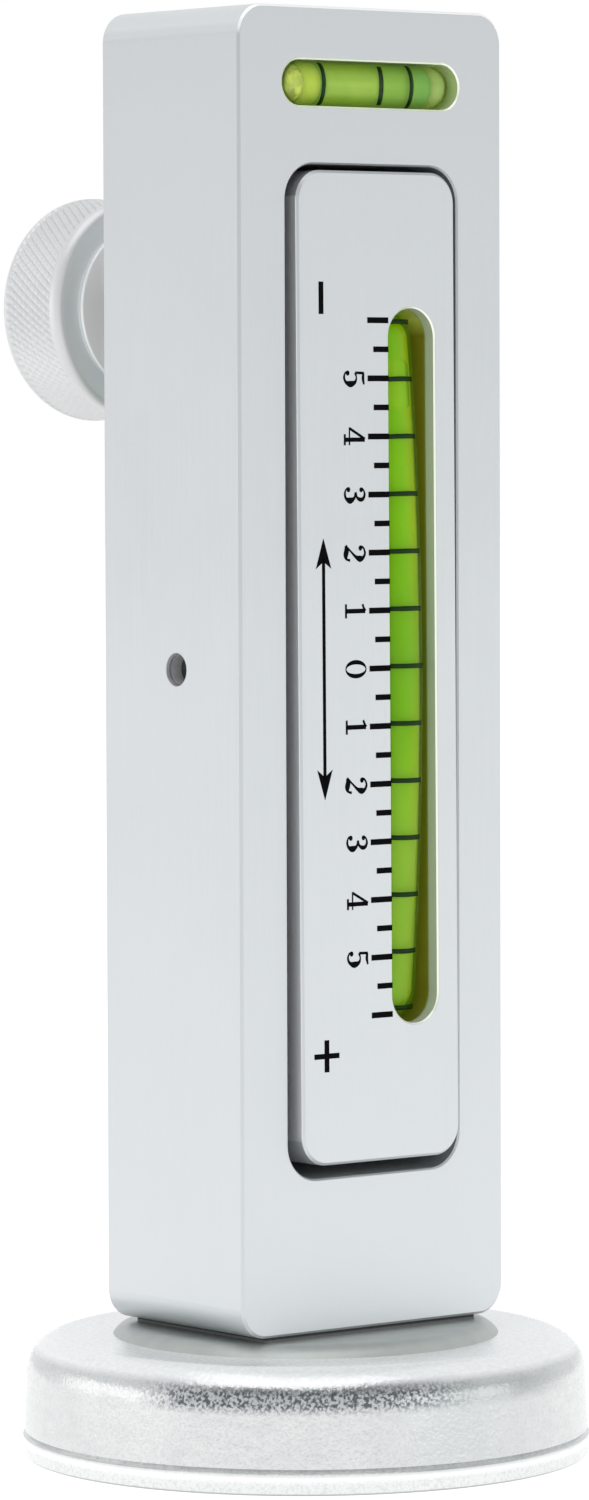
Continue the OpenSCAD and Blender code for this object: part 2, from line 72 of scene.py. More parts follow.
def add_camera():
    """camera fitted to points that were measured in the photograph"""
    yaw, pitch, roll = radians(38.978), radians(2.971), radians(-0.1914)
    forward = Vector((sin(yaw) * cos(pitch), cos(yaw) * cos(pitch), -sin(pitch)))
    right = Vector((cos(yaw), -sin(yaw), 0))
    up = right.cross(forward)
    right, up = cos(roll) * right + sin(roll) * up, -sin(roll) * right + cos(roll) * up
    data = bpy.data.cameras.new("camera")
    data.lens = 157.5
    data.sensor_width = 36
    data.clip_start = 0.01
    camera = bpy.data.objects.new("camera", data)
    camera.matrix_world = Matrix((right, up, -forward)).transposed().to_4x4()
    camera.location = Vector((-469.80, -578.91, 103.31 + BODY_Z)) * MM
    bpy.context.scene.collection.objects.link(camera)
    bpy.context.scene.camera = camera


add_camera()


# ---- materials ----

def add_node(tree, kind, settings=None, **inputs):
    """shader node; an input is named as its socket is, or i and the socket's number"""
    n = tree.nodes.new(kind)
    for key, value in (settings or {}).items():
        setattr(n, key, value)
    for key, value in inputs.items():
        numbered = key[0] == "i" and key[1:].isdigit()
        socket = n.inputs[int(key[1:]) if numbered else key.replace("_", " ")]
        if isinstance(value, bpy.types.NodeSocket):
            tree.links.new(value, socket)
        else:
            socket.default_value = value
    return n


def mix_colors(tree, fac, a, b):
    """blend of two colours, each a socket or three numbers"""
    a, b = (c if isinstance(c, bpy.types.NodeSocket) else tuple(c) + (1.0,) for c in (a, b))
    return add_node(tree, "ShaderNodeMix", {"data_type": "RGBA"}, i0=fac, i6=a, i7=b).outputs[2]


class Look:
    """A Principled material; constants go on the shader's own sockets."""

    def __init__(self, name, color, rough, metal=0.0, **sockets):
        self.m = bpy.data.materials.new(name)
        self.m.use_nodes = True
        self.tree = self.m.node_tree
        self.p = self.tree.nodes["Principled BSDF"]
        self.color = tuple(color)
        self.p.inputs["Base Color"].default_value = self.color + (1.0,)
        self.p.inputs["Roughness"].default_value = rough
        self.p.inputs["Metallic"].default_value = metal
        for key, value in sockets.items():
            self.p.inputs[key.replace("_", " ")].default_value = value
        self.place = self.node("ShaderNodeTexCoord").outputs["Object"]

    def node(self, kind, settings=None, **inputs):
        return add_node(self.tree, kind, settings, **inputs)

    def noise(self, scale, detail=2.0, rough=0.5, stretch=None):
        """noise of so many spots per millimetre"""
        place = self.place
        if stretch:
            place = self.node("ShaderNodeMapping", i0=place, i3=stretch).outputs[0]
        return self.node("ShaderNodeTexNoise", Vector=place, Scale=scale / MM, Detail=detail,
                         Roughness=rough).outputs["Fac"]

    def ranged(self, value, low, high, start=0.0, end=1.0):
        """goes from low to high while a value goes from start to end"""
        return self.node("ShaderNodeMapRange", Value=value, From_Min=start, From_Max=end,
                         To_Min=low, To_Max=high).outputs[0]

    def times(self, a, b):
        return self.node("ShaderNodeMath", {"operation": "MULTIPLY"}, i0=a, i1=b).outputs[0]

    def reach(self, direction):
        """dot product of a point and a direction, in metres"""
        return self.node("ShaderNodeVectorMath", {"operation": "DOT_PRODUCT"}, i0=self.place,
                         i1=direction).outputs["Value"]

    def coordinate(self, axis):
        return self.node("ShaderNodeSeparateXYZ", i0=self.place).outputs[axis]

    def rim(self, blend):
        """grows towards the edge of a round form"""
        return self.node("ShaderNodeLayerWeight", Blend=blend).outputs["Facing"]

    def band(self, value, low, high, soft):
        """1 where a value in metres lies between low and high millimetres"""
        up = self.ranged(value, 0, 1, (low - soft) * MM, (low + soft) * MM)
        down = self.ranged(value, 1, 0, (high - soft) * MM, (high + soft) * MM)
        return self.times(up, down)

    def within(self, axis, low, high, soft=0.3):
        """1 where a coordinate lies between low and high"""
        return self.band(self.coordinate(axis), low, high, soft)

    def along(self, direction, low, high, soft):
        """1 where the reach along a direction lies between low and high"""
        return self.band(self.reach(direction), low, high, soft)

    def tint(self, fac, to, most=1.0):
        """base colour goes towards another one by fac times most"""
        if most != 1.0:
            fac = self.ranged(fac, 0.0, most)
        base = self.p.inputs["Base Color"]
        now = base.links[0].from_socket if base.links else self.color
        self.tree.links.new(mix_colors(self.tree, fac, now, to), base)

    def wash(self, value, most, start, end, to):
        """tint that grows to most while a value goes from start to end"""
        self.tint(self.ranged(value, 0.0, most, start, end), to)

    def link(self, socket, value):
        self.tree.links.new(value, self.p.inputs[socket])

    def rough(self, value):
        self.link("Roughness", value)

    def bump(self, height, distance):
        """raises the surface by height times a distance in millimetres"""
        normal = self.p.inputs["Normal"]
        n = self.node("ShaderNodeBump", Strength=1.0, Distance=distance * MM, Height=height)
        if normal.links:
            self.tree.links.new(normal.links[0].from_socket, n.inputs["Normal"])
        self.tree.links.new(n.outputs[0], normal)


def satin_metal(name, color, rough=0.42, metal=0.75, grain=0.012):
    """anodised aluminium: fine matt grain, faint broad mottling and draw lines, with painted light
    towards the foot and painted shade towards the top
    """
    look = Look(name, color, rough, metal)
    fine = look.noise(5.5, 2.0, 0.6)
    lines = look.noise(2.6, 2.0, 0.6, stretch=(1.0, 1.0, 0.03))
    look.wash(look.noise(0.045, 3.0, 0.6), 0.6, 0.35, 0.75, tuple(c * 0.93 for c in color))
    look.wash(lines, 0.25, 0.4, 0.7, tuple(c * 1.06 for c in color))
    # painted light from the floor makes it paler towards the foot; painted shade makes it darker
    # towards the top
    look.tint(look.within(Z, -60, 45, 60), tuple(min(c * 1.23, 1.0) for c in color))
    look.tint(look.within(Z, 135, 400, 40), tuple(c * 0.87 for c in color))
    look.rough(look.ranged(fine, rough - 0.05, rough + 0.07))
    look.bump(fine, grain)
    look.bump(lines, grain * 0.5)
    return look


def turned_metal(name, color, rough=0.28):
    """turned or drawn bright metal with fine tool lines"""
    look = Look(name, color, rough, 1.0)
    fine = look.noise(7.0, 3.0, 0.6)
    look.wash(look.noise(0.3, 3.0, 0.6), 0.7, 0.3, 0.8, tuple(c * 0.86 for c in color))
    look.rough(look.ranged(fine, rough - 0.06, rough + 0.10))
    look.bump(fine, 0.006)
    return look


bar = satin_metal("bar_metal", (0.575, 0.597, 0.608))
block = satin_metal("block_metal", (0.565, 0.587, 0.60), rough=0.38)

INTO_BLOCK = (0, 1, -0.006109)      # square to the leaning front face, which lies at -14.05
MOUTH_HIGHLIGHT = (0.97, 1.0, 0.86)     # painted highlight on the bevel round a vial's slot


def slot_walls(x_low, x_high, z_low, z_high, deep):
    """walls of a vial slot get painted olive shade deep in the slot, with the liquid's green light
    in it, and painted light at the top; gives the slot's mask
    """
    slot = block.times(block.within(X, x_low, x_high, 0.06), block.within(Z, z_low, z_high, 0.2))
    # painted olive shade on the deep walls
    block.tint(block.times(slot, deep), (0.42, 0.30, 0.03), 0.95)
    # painted light on the slot's top wall
    top = block.times(slot, block.within(Z, z_high - 3.0, z_high, 0.9))
    block.tint(block.times(top, deep), (1.0, 0.84, 0.40))
    return slot


# painted shade and light on the front slot's walls
front_slot = slot_walls(1.6, 8.4, 49.0, 131.0, block.along(INTO_BLOCK, -12.45, -3.5, 0.35))
near = block.times(front_slot, block.along(INTO_BLOCK, -13.8, -12.45, 0.1))
block.tint(near, (0.60, 0.64, 0.55))        # painted pale green light near the face, greyer than the shade deeper in
# less metallic near the face, so the painted light there reads paler
block.link("Metallic", block.ranged(near, 0.75, 0.1))
# painted highlight on the bevel round the front slot
bevel = block.times(block.within(X, 1.2, 8.7, 0.06), block.within(Z, 48.5, 131.5, 0.2))
block.tint(block.times(bevel, block.along(INTO_BLOCK, -14.01, -13.84, 0.015)), MOUTH_HIGHLIGHT)
# painted shade and light on the back slot's walls
slot_walls(-8.4, -1.6, 62.0, 118.0, block.within(Y, 2.0, 9.85, 0.45))
block.tint(block.within(X, -11.6, -11.4, 0.02), (0.85, 0.86, 0.87))     # painted light on the side that faces the gap

# painted light on the rounded top corners, and a painted highlight along their front edge
round_light = bar.times(bar.within(Z, 160.9, 170, 0.7), bar.within(Y, -12.2, 20, 0.05))
bar.tint(round_light, (0.74, 0.76, 0.765))
# painted highlight on the front edge of the rounds
edge = bar.times(bar.within(Z, 160.6, 170, 0.5), bar.within(Y, -12.37, -12.13, 0.01))
bar.tint(edge, (1.0, 1.0, 1.0))
# painted pale green light on the cross slot's end wall, and a painted highlight on its mouth
cross_slot = bar.times(bar.within(X, 9.5, 13.2, 0.3), bar.within(Z, 152.2, 157.9, 0.15))
bar.tint(bar.times(cross_slot, bar.within(Y, -12.15, -6.0, 0.15)), (0.93, 1.0, 0.80))
# painted highlight on the cross slot's mouth
mouth = bar.times(bar.within(X, -13.4, 13.4, 0.1), bar.within(Z, 152.0, 158.1, 0.1))
bar.tint(bar.times(mouth, bar.within(Y, -12.37, -12.18, 0.02)), MOUTH_HIGHLIGHT)
# painted shade darkens the pin hole's flared mouths, and painted light makes it pale inside
hole = bar.times(bar.within(Y, -2.85, 1.15, 0.06), bar.within(Z, 87.85, 91.85, 0.06))
bar.tint(bar.times(hole, bar.within(X, -18.99, 18.99, 0.03)), (0.22, 0.22, 0.23))
bar.tint(bar.times(hole, bar.within(X, -18.6, 18.6, 0.1)), (0.96, 0.96, 0.96))

cup = Look("cup_plating", (0.71, 0.72, 0.715), 0.2)
ACROSS_CUP = (0.777, -0.629, 0)     # to the right along the cup's front
grain = cup.noise(1.9, 2.0, 0.6)
spark = cup.noise(2.8, 1.0, 0.5)
drawn = cup.noise(1.0, 3.0, 0.6, stretch=(0.4, 0.4, 1.0))
cup.wash(drawn, 0.7, 0.45, 0.7, (0.62, 0.63, 0.635))
cup.wash(cup.noise(0.12, 4.0, 0.6), 0.6, 0.35, 0.75, (0.64, 0.65, 0.65))
cup.tint(cup.within(Z, -1.0, 1.5, 0.1), (0.80, 0.81, 0.805))        # lip
cup.wash(spark, 0.3, 0.48, 0.66, (0.50, 0.52, 0.54))
# painted dark reflection on the shoulder's round, strongest in front and weaker to the right; the
# top is matt, and its pale colour is painted light
dark_reflection_band = cup.within(Z, 9.2, 11.6, 0.5)
front_dark_reflection = cup.times(dark_reflection_band, cup.along(ACROSS_CUP, -16.5, 17.0, 2.5))
cup.tint(cup.times(front_dark_reflection, cup.ranged(spark, 0.25, 1.0, 0.42, 0.60)), (0.12, 0.135, 0.15))
cup.tint(cup.times(dark_reflection_band, cup.along(ACROSS_CUP, 14.5, 27.0, 3.0)), (0.36, 0.39, 0.38), 0.6)
# matt top, painted pale as lit
matt = cup.within(Z, 12.1, 15.0, 0.4)
cup.tint(cup.times(matt, cup.ranged(grain, 0.75, 1.0, 0.42, 0.62)), (0.95, 0.96, 0.96))
cup.link("Metallic", cup.ranged(matt, 0.9, 0.2))
# painted shade on the side wall to the right, painted light on the seam above the lip, and a
# painted contact shadow along the lip's lower edge
wall = cup.times(cup.along(ACROSS_CUP, 10.0, 23.0, 5.0), cup.within(Z, 1.6, 9.4, 0.5))
cup.tint(wall, (0.50, 0.52, 0.52), 0.5)
cup.tint(cup.within(Z, 1.45, 2.1, 0.2), (1.0, 1.0, 1.0), 0.7)
cup.tint(cup.within(Z, -1.0, 0.17, 0.05), (0.46, 0.47, 0.475))
cup.rough(cup.ranged(grain, 0.10, 0.30))
cup.bump(grain, 0.045)
cup.bump(spark, 0.015)

disc = Look("disc_plating", (0.50, 0.525, 0.51), 0.4, 0.75)
disc.wash(disc.noise(0.35, 3.0, 0.6), 0.6, 0.4, 0.7, (0.43, 0.45, 0.44))
disc.rough(disc.ranged(disc.noise(0.4, 2.0, 0.6), 0.38, 0.46))
disc.bump(disc.noise(3.0, 2.0, 0.5), 0.002)

knob_metal = satin_metal("knob_metal", (0.78, 0.785, 0.79), rough=0.4, metal=0.5, grain=0.01)
knob_metal.tint(knob_metal.within(Y, 27.5, 28.6, 0.05), (1.0, 1.0, 1.0))            # painted light on the boss, which lies in the bar's shadow
knob_metal.tint(knob_metal.within(Y, 28.75, 29.06, 0.04), (0.84, 0.875, 0.88))      # painted light on the face round it, a little teal
steel = turned_metal("turned_steel", (0.58, 0.59, 0.60))
ground = turned_metal("ground_steel", (0.44, 0.45, 0.46), rough=0.22)
# the pivot pin is painted near black, as the shade deep in its hole
pin_in_shade = turned_metal("pin_steel_in_shade", (0.05, 0.05, 0.052), rough=0.4)
wire = turned_metal("spring_wire", (0.60, 0.61, 0.62), rough=0.2)
brass = turned_metal("bush_brass", (0.72, 0.52, 0.22), rough=0.3)

ferrite = Look("ferrite", (0.055, 0.055, 0.06), 0.62)
ferrite.wash(ferrite.noise(0.8, 4.0, 0.7), 1.0, 0.3, 0.8, (0.10, 0.10, 0.105))
ferrite.bump(ferrite.noise(3.0, 3.0, 0.7), 0.03)
resin = Look("setting_resin", (0.16, 0.17, 0.18), 0.4)
resin.wash(resin.noise(0.6, 3.0, 0.6), 1.0, 0.3, 0.8, (0.22, 0.23, 0.24))
resin.bump(resin.noise(1.2, 2.0, 0.5), 0.05)
rubber = Look("gasket_rubber", (0.012, 0.012, 0.013), 0.7)
rubber.wash(rubber.noise(1.5, 3.0, 0.6), 1.0, 0.3, 0.8, (0.03, 0.03, 0.03))
rubber.tint(rubber.within(Z, 14.5, 15.25, 0.08), (0.14, 0.147, 0.142))      # lower half painted dark grey as the shaded disc below
rubber.bump(rubber.noise(4.0, 2.0, 0.6), 0.02)

ink = Look("scale_ink", (0.002, 0.002, 0.0025), 0.6, Specular_IOR_Level=0.03)
ink.wash(ink.noise(3.0, 3.0, 0.7), 0.8, 0.55, 0.9, (0.007, 0.007, 0.008))
ink.rough(ink.ranged(ink.noise(6.0, 2.0, 0.6), 0.5, 0.7))
ring_ink = Look("ring_ink", (0.004, 0.030, 0.001), 0.4, Specular_IOR_Level=0.15)
ring_ink.wash(ring_ink.noise(3.0, 2.0, 0.6), 0.8, 0.4, 0.8, (0.015, 0.045, 0.004))

tube = Look("clear_tube", (0.95, 1.0, 0.60), 0.03, Transmission_Weight=1.0, IOR=1.24)
tube.rough(tube.ranged(tube.noise(0.6, 2.0, 0.5), 0.01, 0.06))
tube.bump(tube.noise(0.25, 2.0, 0.5), 0.02)
# painted contact shadow at the cross vial's left end, by the slot's mouth: dark beyond an arc,
# which lies on a slant through the tube
depth = tube.reach((1, -0.81, 0))
spot = tube.node("ShaderNodeCombineXYZ", i0=depth, i1=tube.coordinate(Z)).outputs[0]
off = tube.node("ShaderNodeVectorMath", {"operation": "DISTANCE"}, i0=spot,
                i1=(-0.31 * MM, CROSS_Z * MM, 0)).outputs["Value"]
end = tube.times(tube.ranged(off, 0, 1, 2.1 * MM, 2.3 * MM),
                 tube.ranged(depth, 1, 0, -1.1 * MM, -0.6 * MM))
tube.tint(tube.times(end, tube.within(Z, 150.0, 160.0)), (0.20, 0.27, 0.10))


def glowing(name, color, rough, glow, light=None, **sockets):
    """painted light: glows a little in its own colour or another, though it is no lamp"""
    return Look(name, color, rough, Emission_Color=tuple(light or color) + (1.0,),
                Emission_Strength=glow, **sockets)


def liquid(name, color, deep, glow):
    """dyed liquid, with a glow of painted light"""
    look = glowing(name, color, 0.3, glow, Specular_IOR_Level=0.05)
    look.wash(look.noise(0.12, 3.0, 0.6), 0.8, 0.3, 0.75, deep)
    look.wash(look.noise(1.6, 3.0, 0.6), 0.25, 0.4, 0.8, deep)
    return look


green = liquid("camber_green", (0.19, 0.46, 0.0), (0.15, 0.38, 0.0), 0.3)
# painted yellow-green light along the liquid's right side
green.tint(green.within(X, 5.8, 12.0, 0.9), (0.38, 0.42, 0.0))
# painted light on the lower part, and painted shade round the middle
green.tint(green.within(Z, 40.0, 76.0, 8.0), (0.30, 0.42, 0.10), 0.6)
green.tint(green.within(Z, 84.0, 98.0, 8.0), (0.10, 0.28, 0.02), 0.6)
yellow = liquid("cross_green", (0.25, 0.45, 0.08), (0.20, 0.38, 0.08), 0.25)
# painted light on the left end, and painted shade towards the right end
yellow.tint(yellow.within(X, -14.0, -6.8, 0.1), (0.52, 0.62, 0.10))
yellow.tint(yellow.within(X, 7.0, 14.0, 0.4), (0.15, 0.37, 0.11))

air = glowing("bubble_air", (0.22, 0.46, 0.0), 0.2, 0.3, Specular_IOR_Level=0.1)
# painted shade along the bubble's outline
air.wash(air.rim(0.55), 1.0, 0.45, 0.85, (0.035, 0.10, 0.004))
cross_air = glowing("cross_air", (0.27, 0.44, 0.06), 0.1, 0.25)
cross_air.wash(cross_air.noise(0.5, 2.0, 0.5), 0.5, 0.35, 0.75, (0.36, 0.50, 0.07))
# painted shade along the bubble's outline
cross_air.wash(cross_air.rim(0.5), 1.0, 0.75, 0.93, (0.02, 0.06, 0.004))

plug_clear = glowing("plug_clear", (0.44, 0.54, 0.14), 0.12, 0.25, light=(0.34, 0.44, 0.10))
# painted glints and dark facets of refracted light
plug_clear.wash(plug_clear.noise(0.5, 2.0, 0.6), 1.0, 0.44, 0.58, (0.74, 0.80, 0.20))
plug_clear.wash(plug_clear.noise(0.8, 2.0, 0.6), 0.8, 0.50, 0.62, (0.20, 0.26, 0.06))
# painted shade on the right plug
plug_clear.tint(plug_clear.within(X, 8.0, 14.0, 0.5), (0.26, 0.40, 0.15))
# painted dark outline round the plugs' edges
plug_clear.wash(plug_clear.rim(0.5), 0.8, 0.70, 0.95, (0.04, 0.07, 0.02))
plug_clear.bump(plug_clear.noise(0.7, 1.0, 0.5), 0.2)

bed = Look("pale_bed", (0.55, 0.66, 0.20), 0.6)
bed.wash(bed.noise(1.0, 3.0, 0.6), 1.0, 0.3, 0.8, (0.42, 0.55, 0.12))
bed.bump(bed.noise(1.5, 2.0, 0.5), 0.08)


# ---- meshes ----

def piece(name, points, faces, look, body, slot, smooth=True):
    """a mesh in millimetres in the row frame, scaled to metres, riding on a body"""
    mesh = bpy.data.meshes.new(name)
    mesh.from_pydata([tuple(Vector(p) * MM) for p in points], [], faces)
    mesh.validate()
    mesh.update()
    mesh.materials.append(look.m)
    mesh.polygons.foreach_set("use_smooth", [smooth] * len(mesh.polygons))
    obj = bpy.data.objects.new(name, mesh)
    bpy.context.scene.collection.objects.link(obj)
    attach(obj, body)
    return obj


def crisp(obj, angle):
    """keeps edges sharper than an angle sharp"""
    obj.data.set_sharp_from_angle(angle=radians(angle))


def grid_faces(rows, cols, closed=True):
    """quads of rows rings with cols points each"""
    faces = []
    for i in range(rows - 1):
        for k in range(cols if closed else cols - 1):
            a, b = i * cols + k, i * cols + (k + 1) % cols
            faces.append((a, b, b + cols, a + cols))
    return faces


def flipped(faces):
    return [f[::-1] for f in faces]


def lathe(profile, place, flip=False):
    """closed round form; a profile has each ring's place along it and radius, place puts a
    point, and flip turns the sides' faces round"""
    cols = 40
    points = [place(s, q, 2 * pi * k / cols) for s, q in profile for k in range(cols)]
    n = len(profile)
    sides = grid_faces(n, cols)
    ends = [tuple(range(cols)), tuple(range(n * cols - 1, (n - 1) * cols - 1, -1))]
    return points, (flipped(sides) if flip else sides) + ends


def arc_line(middle, width, r, lift, angles, place):
    """low raised line round part of a tube of radius r"""
    rows = [(middle + side * width / 2, r + height)
            for side, height in ((-1, -0.02), (-1, lift), (1, lift), (1, -0.02))]
    points = [place(s, q, a) for s, q in rows for a in angles]
    return points, grid_faces(4, len(angles), closed=False)


def join(parts):
    """one mesh from several"""
    points, faces = [], []
    for p, f in parts:
        at = len(points)
        points += p
        faces += [tuple(at + i for i in face) for face in f]
    return points, faces


def capsule(half, r, steps=10):
    """profile of a rod with round ends; half is half its length"""
    splits = 40
    turns = [k * pi / 2 / steps for k in range(steps + 1)]
    ends = [(half - r + r * sin(t), max(r * cos(t), 0.02)) for t in turns]
    middle = [(-half + r + (2 * half - 2 * r) * k / splits, r) for k in range(1, splits)]
    return [(-s, q) for s, q in reversed(ends)] + middle + ends


def leaning(p):
    """row frame place of a point given from the pivot of the rocking block"""
    x, y, z = p
    return PIVOT + Vector((x, y * cos(LEAN) + z * sin(LEAN), z * cos(LEAN) - y * sin(LEAN)))


# ---- scale print ----

def curve(points):
    """smooth line through points that carry a width"""
    steps = 7
    out = []
    ext = [points[0]] + list(points) + [points[-1]]
    for i in range(1, len(ext) - 2):
        for s in range(steps):
            t = s / steps
            out.append(tuple(0.5 * (2 * b + (c - a) * t + (2 * a - 5 * b + 4 * c - d) * t * t
                                    + (3 * b - a - 3 * c + d) * t ** 3)
                             for a, b, c, d in zip(ext[i - 1], ext[i], ext[i + 1], ext[i + 2])))
    return out + [points[-1]]


def stroke(points, smooth=True):
    """quads of a pen stroke; each point is x, y, width"""
    line = curve(points) if smooth else list(points)
    sides = []
    for i, (x, y, w) in enumerate(line):
        x0, y0 = line[max(i - 1, 0)][:2]
        x1, y1 = line[min(i + 1, len(line) - 1)][:2]
        d = sqrt((x1 - x0) ** 2 + (y1 - y0) ** 2) or 1
        nx, ny = -(y1 - y0) / d * w / 2, (x1 - x0) / d * w / 2
        sides.append(((x + nx, y + ny), (x - nx, y - ny)))
    return [[a[0], a[1], b[1], b[0]] for a, b in zip(sides, sides[1:])]


def dot(x, y, r):
    return [[(x + r * cos(k * pi / 8), y + r * sin(k * pi / 8)) for k in range(16)]]


def rect(x0, y0, x1, y1):
    return [[(x0, y0), (x1, y0), (x1, y1), (x0, y1)]]


def centred(x, y, half_x, half_y):
    return rect(x - half_x, y - half_y, x + half_x, y + half_y)


def ring(x, y, rx, ry, tx, ty):
    """oval of radii rx and ry, tx and ty thick"""
    out = []
    for k in range(24):
        a, b = k * pi / 12, (k + 1) * pi / 12
        out.append([(x + rx * cos(a), y + ry * sin(a)), (x + rx * cos(b), y + ry * sin(b)),
                    (x + (rx - tx) * cos(b), y + (ry - ty) * sin(b)),
                    (x + (rx - tx) * cos(a), y + (ry - ty) * sin(a))])
    return out


THIN, THICK = 0.09, 0.21
MIDDLE = 0.3            # x of a figure's middle
BROADER = 1.13          # figures are this much broader than drawn
# figures in a box one high
GLYPHS = {
    "0": ring(MIDDLE, 0.5, 0.30, 0.5, 0.145, 0.045),
    "1": rect(0.225, 0.03, 0.375, 0.96) + rect(0.07, 0, 0.53, THIN)
         + stroke([(0.08, 0.83, THIN), (0.2, 0.89, THIN), (0.3, 0.97, 0.1)]),
    "2": stroke([(0.1, 0.74, 0.1), (0.13, 0.88, 0.07), (0.3, 0.965, THIN), (0.45, 0.88, 0.12),
                 (0.49, 0.72, THICK), (0.42, 0.52, 0.11), (0.24, 0.28, 0.07), (0.06, 0.05, THIN)])
         + dot(0.145, 0.745, 0.085)
         + stroke([(0.06, 0.04, 0.08), (0.2, 0.09, THICK), (0.38, 0.055, THICK),
                   (0.5, 0.1, 0.09), (0.54, 0.26, THIN)]),
    "3": stroke([(0.1, 0.82, 0.09), (0.15, 0.91, 0.06), (0.29, 0.965, THIN), (0.43, 0.89, 0.12),
                 (0.455, 0.75, 0.14), (0.38, 0.6, 0.09), (0.22, 0.54, THIN)])
         + stroke([(0.22, 0.54, THIN), (0.4, 0.48, 0.1), (0.485, 0.28, THICK),
                   (0.42, 0.09, 0.11), (0.27, 0.03, THIN), (0.13, 0.08, 0.06), (0.09, 0.18, 0.08)])
         + dot(0.14, 0.8, 0.08) + dot(0.13, 0.2, 0.085),
    "4": stroke([(0.38, 1.0, THIN), (0.03, 0.27, THIN)], smooth=False)
         + rect(0.0, 0.235, 0.58, 0.295)
         + rect(0.33, 0.03, 0.47, 0.99) + rect(0.22, 0, 0.58, THIN),
    "5": stroke([(0.13, 0.95, 0.09), (0.3, 0.925, 0.12), (0.5, 0.97, 0.07)])
         + stroke([(0.13, 0.97, THIN), (0.12, 0.56, THIN)], smooth=False)
         + stroke([(0.12, 0.55, THIN), (0.27, 0.61, 0.06), (0.42, 0.55, 0.12),
                   (0.485, 0.33, THICK), (0.42, 0.11, 0.11), (0.27, 0.03, THIN),
                   (0.13, 0.08, 0.06), (0.09, 0.18, 0.08)])
         + dot(0.13, 0.2, 0.085),
}


class Print:
    """flat ink on a face: polygons in the face's own x and z, made into thin plates"""

    def __init__(self):
        self.shapes = []

    def add(self, polygons):
        self.shapes += polygons

    def figure(self, number, x, z, size):
        """a figure whose top points to +x, as the real figures lie"""
        for polygon in GLYPHS[str(number)]:
            self.shapes.append([(x + size * v, z - BROADER * size * (u - MIDDLE))
                                for u, v in polygon])

    def tick(self, z, start, end, half):
        """line across the scale, from start to end and half to either side of z"""
        self.add(rect(start, z - half, end, z + half))

    def make(self, name, front):
        """front is True for the front face and False for the back pad"""
        over, under = 0.02, -0.01
        points, faces = [], []
        s = 1 if front else -1
        for shape in self.shapes:
            area = sum(a[0] * b[1] - b[0] * a[1] for a, b in zip(shape, shape[1:] + shape[:1]))
            shape = shape if area > 0 else shape[::-1]
            n, at = len(shape), len(points)
            for depth in (over, under):
                points += [leaning((s * x, -s * (FACE + depth), z)) for x, z in shape]
            faces.append(tuple(range(at, at + n)))
            faces.append(tuple(range(at + 2 * n - 1, at + n - 1, -1)))
            for k in range(n):
                j = (k + 1) % n
                faces.append((at + k, at + n + k, at + n + j, at + j))
        piece(name, points, faces, ink, "rocker", "block", smooth=False)


def print_camber_scale():
    scale = Print()
    slot_edge = 1.60
    zero = -0.085
    for k in range(-6, 7):
        z = k * CAMBER_STEP + zero
        scale.tick(z, -1.45, slot_edge, 0.33)
        if k < 6:
            scale.tick(z + CAMBER_STEP / 2, -0.6, slot_edge, 0.32)
        if abs(k) <= 5:
            scale.figure(abs(k), -4.95, z, 3.05)
    # plain signs for the two directions and a two-headed arrow between them
    minus_z, plus_z, x, arm = 41.3, -43.2, -8.0, 1.8
    scale.add(centred(x - 0.1, minus_z, 0.34, arm))
    scale.add(centred(x, plus_z, 0.34, arm))
    scale.add(rect(x - arm, plus_z - 0.30, x - 0.34, plus_z + 0.30))
    scale.add(rect(x + 0.34, plus_z - 0.30, x + arm, plus_z + 0.30))
    scale.add(centred(x, 0, 0.22, 12.4))
    for s in (1, -1):
        barb, point, notch = s * 11.2, (x, s * 14.6), (x, s * 12.0)
        scale.add([[(x - 1.1, barb), point, notch], [(x + 1.1, barb), point, notch]])
    scale.make("camber_print", True)


def print_caster_scale():
    scale = Print()
    slot_edge = 1.58
    for k in range(-5, 6):
        z = k * CASTER_STEP
        scale.tick(z, -1.3, slot_edge, 0.2)
        if k < 5:
            scale.tick(z + CASTER_STEP / 2, -0.5, slot_edge, 0.18)
        scale.figure(abs(k), -4.5, z, 2.5)
    scale.make("caster_print", False)


print_camber_scale()
print_caster_scale()


# ---- bent vials ----

def on_bend(front, lift=0.0):
    """places points of a bent tube: s along it from the middle, at radius q and angle phi"""
    def place(s, q, phi):
        a = s / BEND
        out = CREST - BEND * (1 - cos(a)) + (lift + q * sin(phi)) * cos(a)
        p = SIDE + q * cos(phi), -out, (BEND + lift + q * sin(phi)) * sin(a)
        return leaning(p if front else (-p[0], -p[1], p[2]))
    return place


def add_bent_vial(name, front, slot_len, lines):
    """tube with its liquid core, bubble and printed lines"""
    half = slot_len / 2 - 0.15
    glass_r, core_r, bubble_r = 3.2, 2.3, 1.95
    body = "rocker"
    form = lathe(capsule(half, glass_r), on_bend(front), flip=True)
    glass = piece(name + "_glass", *form, tube, body, "clear_tube")
    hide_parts(name + "_vial", name + "_plugs")
    form = lathe(capsule(half - 1.1, core_r, 6), on_bend(front), flip=True)
    core = piece(name + "_core", *form, green, body, "green_liquid")
    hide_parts(name + "_liquid")
    top = half - glass_r - 1 - 4.3      # the bubble rests at the upper end
    profile = [(s + top, q) for s, q in capsule(4.0, bubble_r)]
    form = lathe(profile, on_bend(front, lift=0.52), flip=True)
    bubble = piece(name + "_air_bubble", *form, air, name + "_air", "bubble")
    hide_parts(name + "_bubble")
    marks = []
    for s, reach in lines:
        angles = [radians(100) + radians(reach) * (1 - k / 12) for k in range(25)]
        marks.append(arc_line(s, 0.55, glass_r + 0.005, 0.015, angles, on_bend(front)))
    piece(name + "_lines", *join(marks), ring_ink, body, "clear_tube")


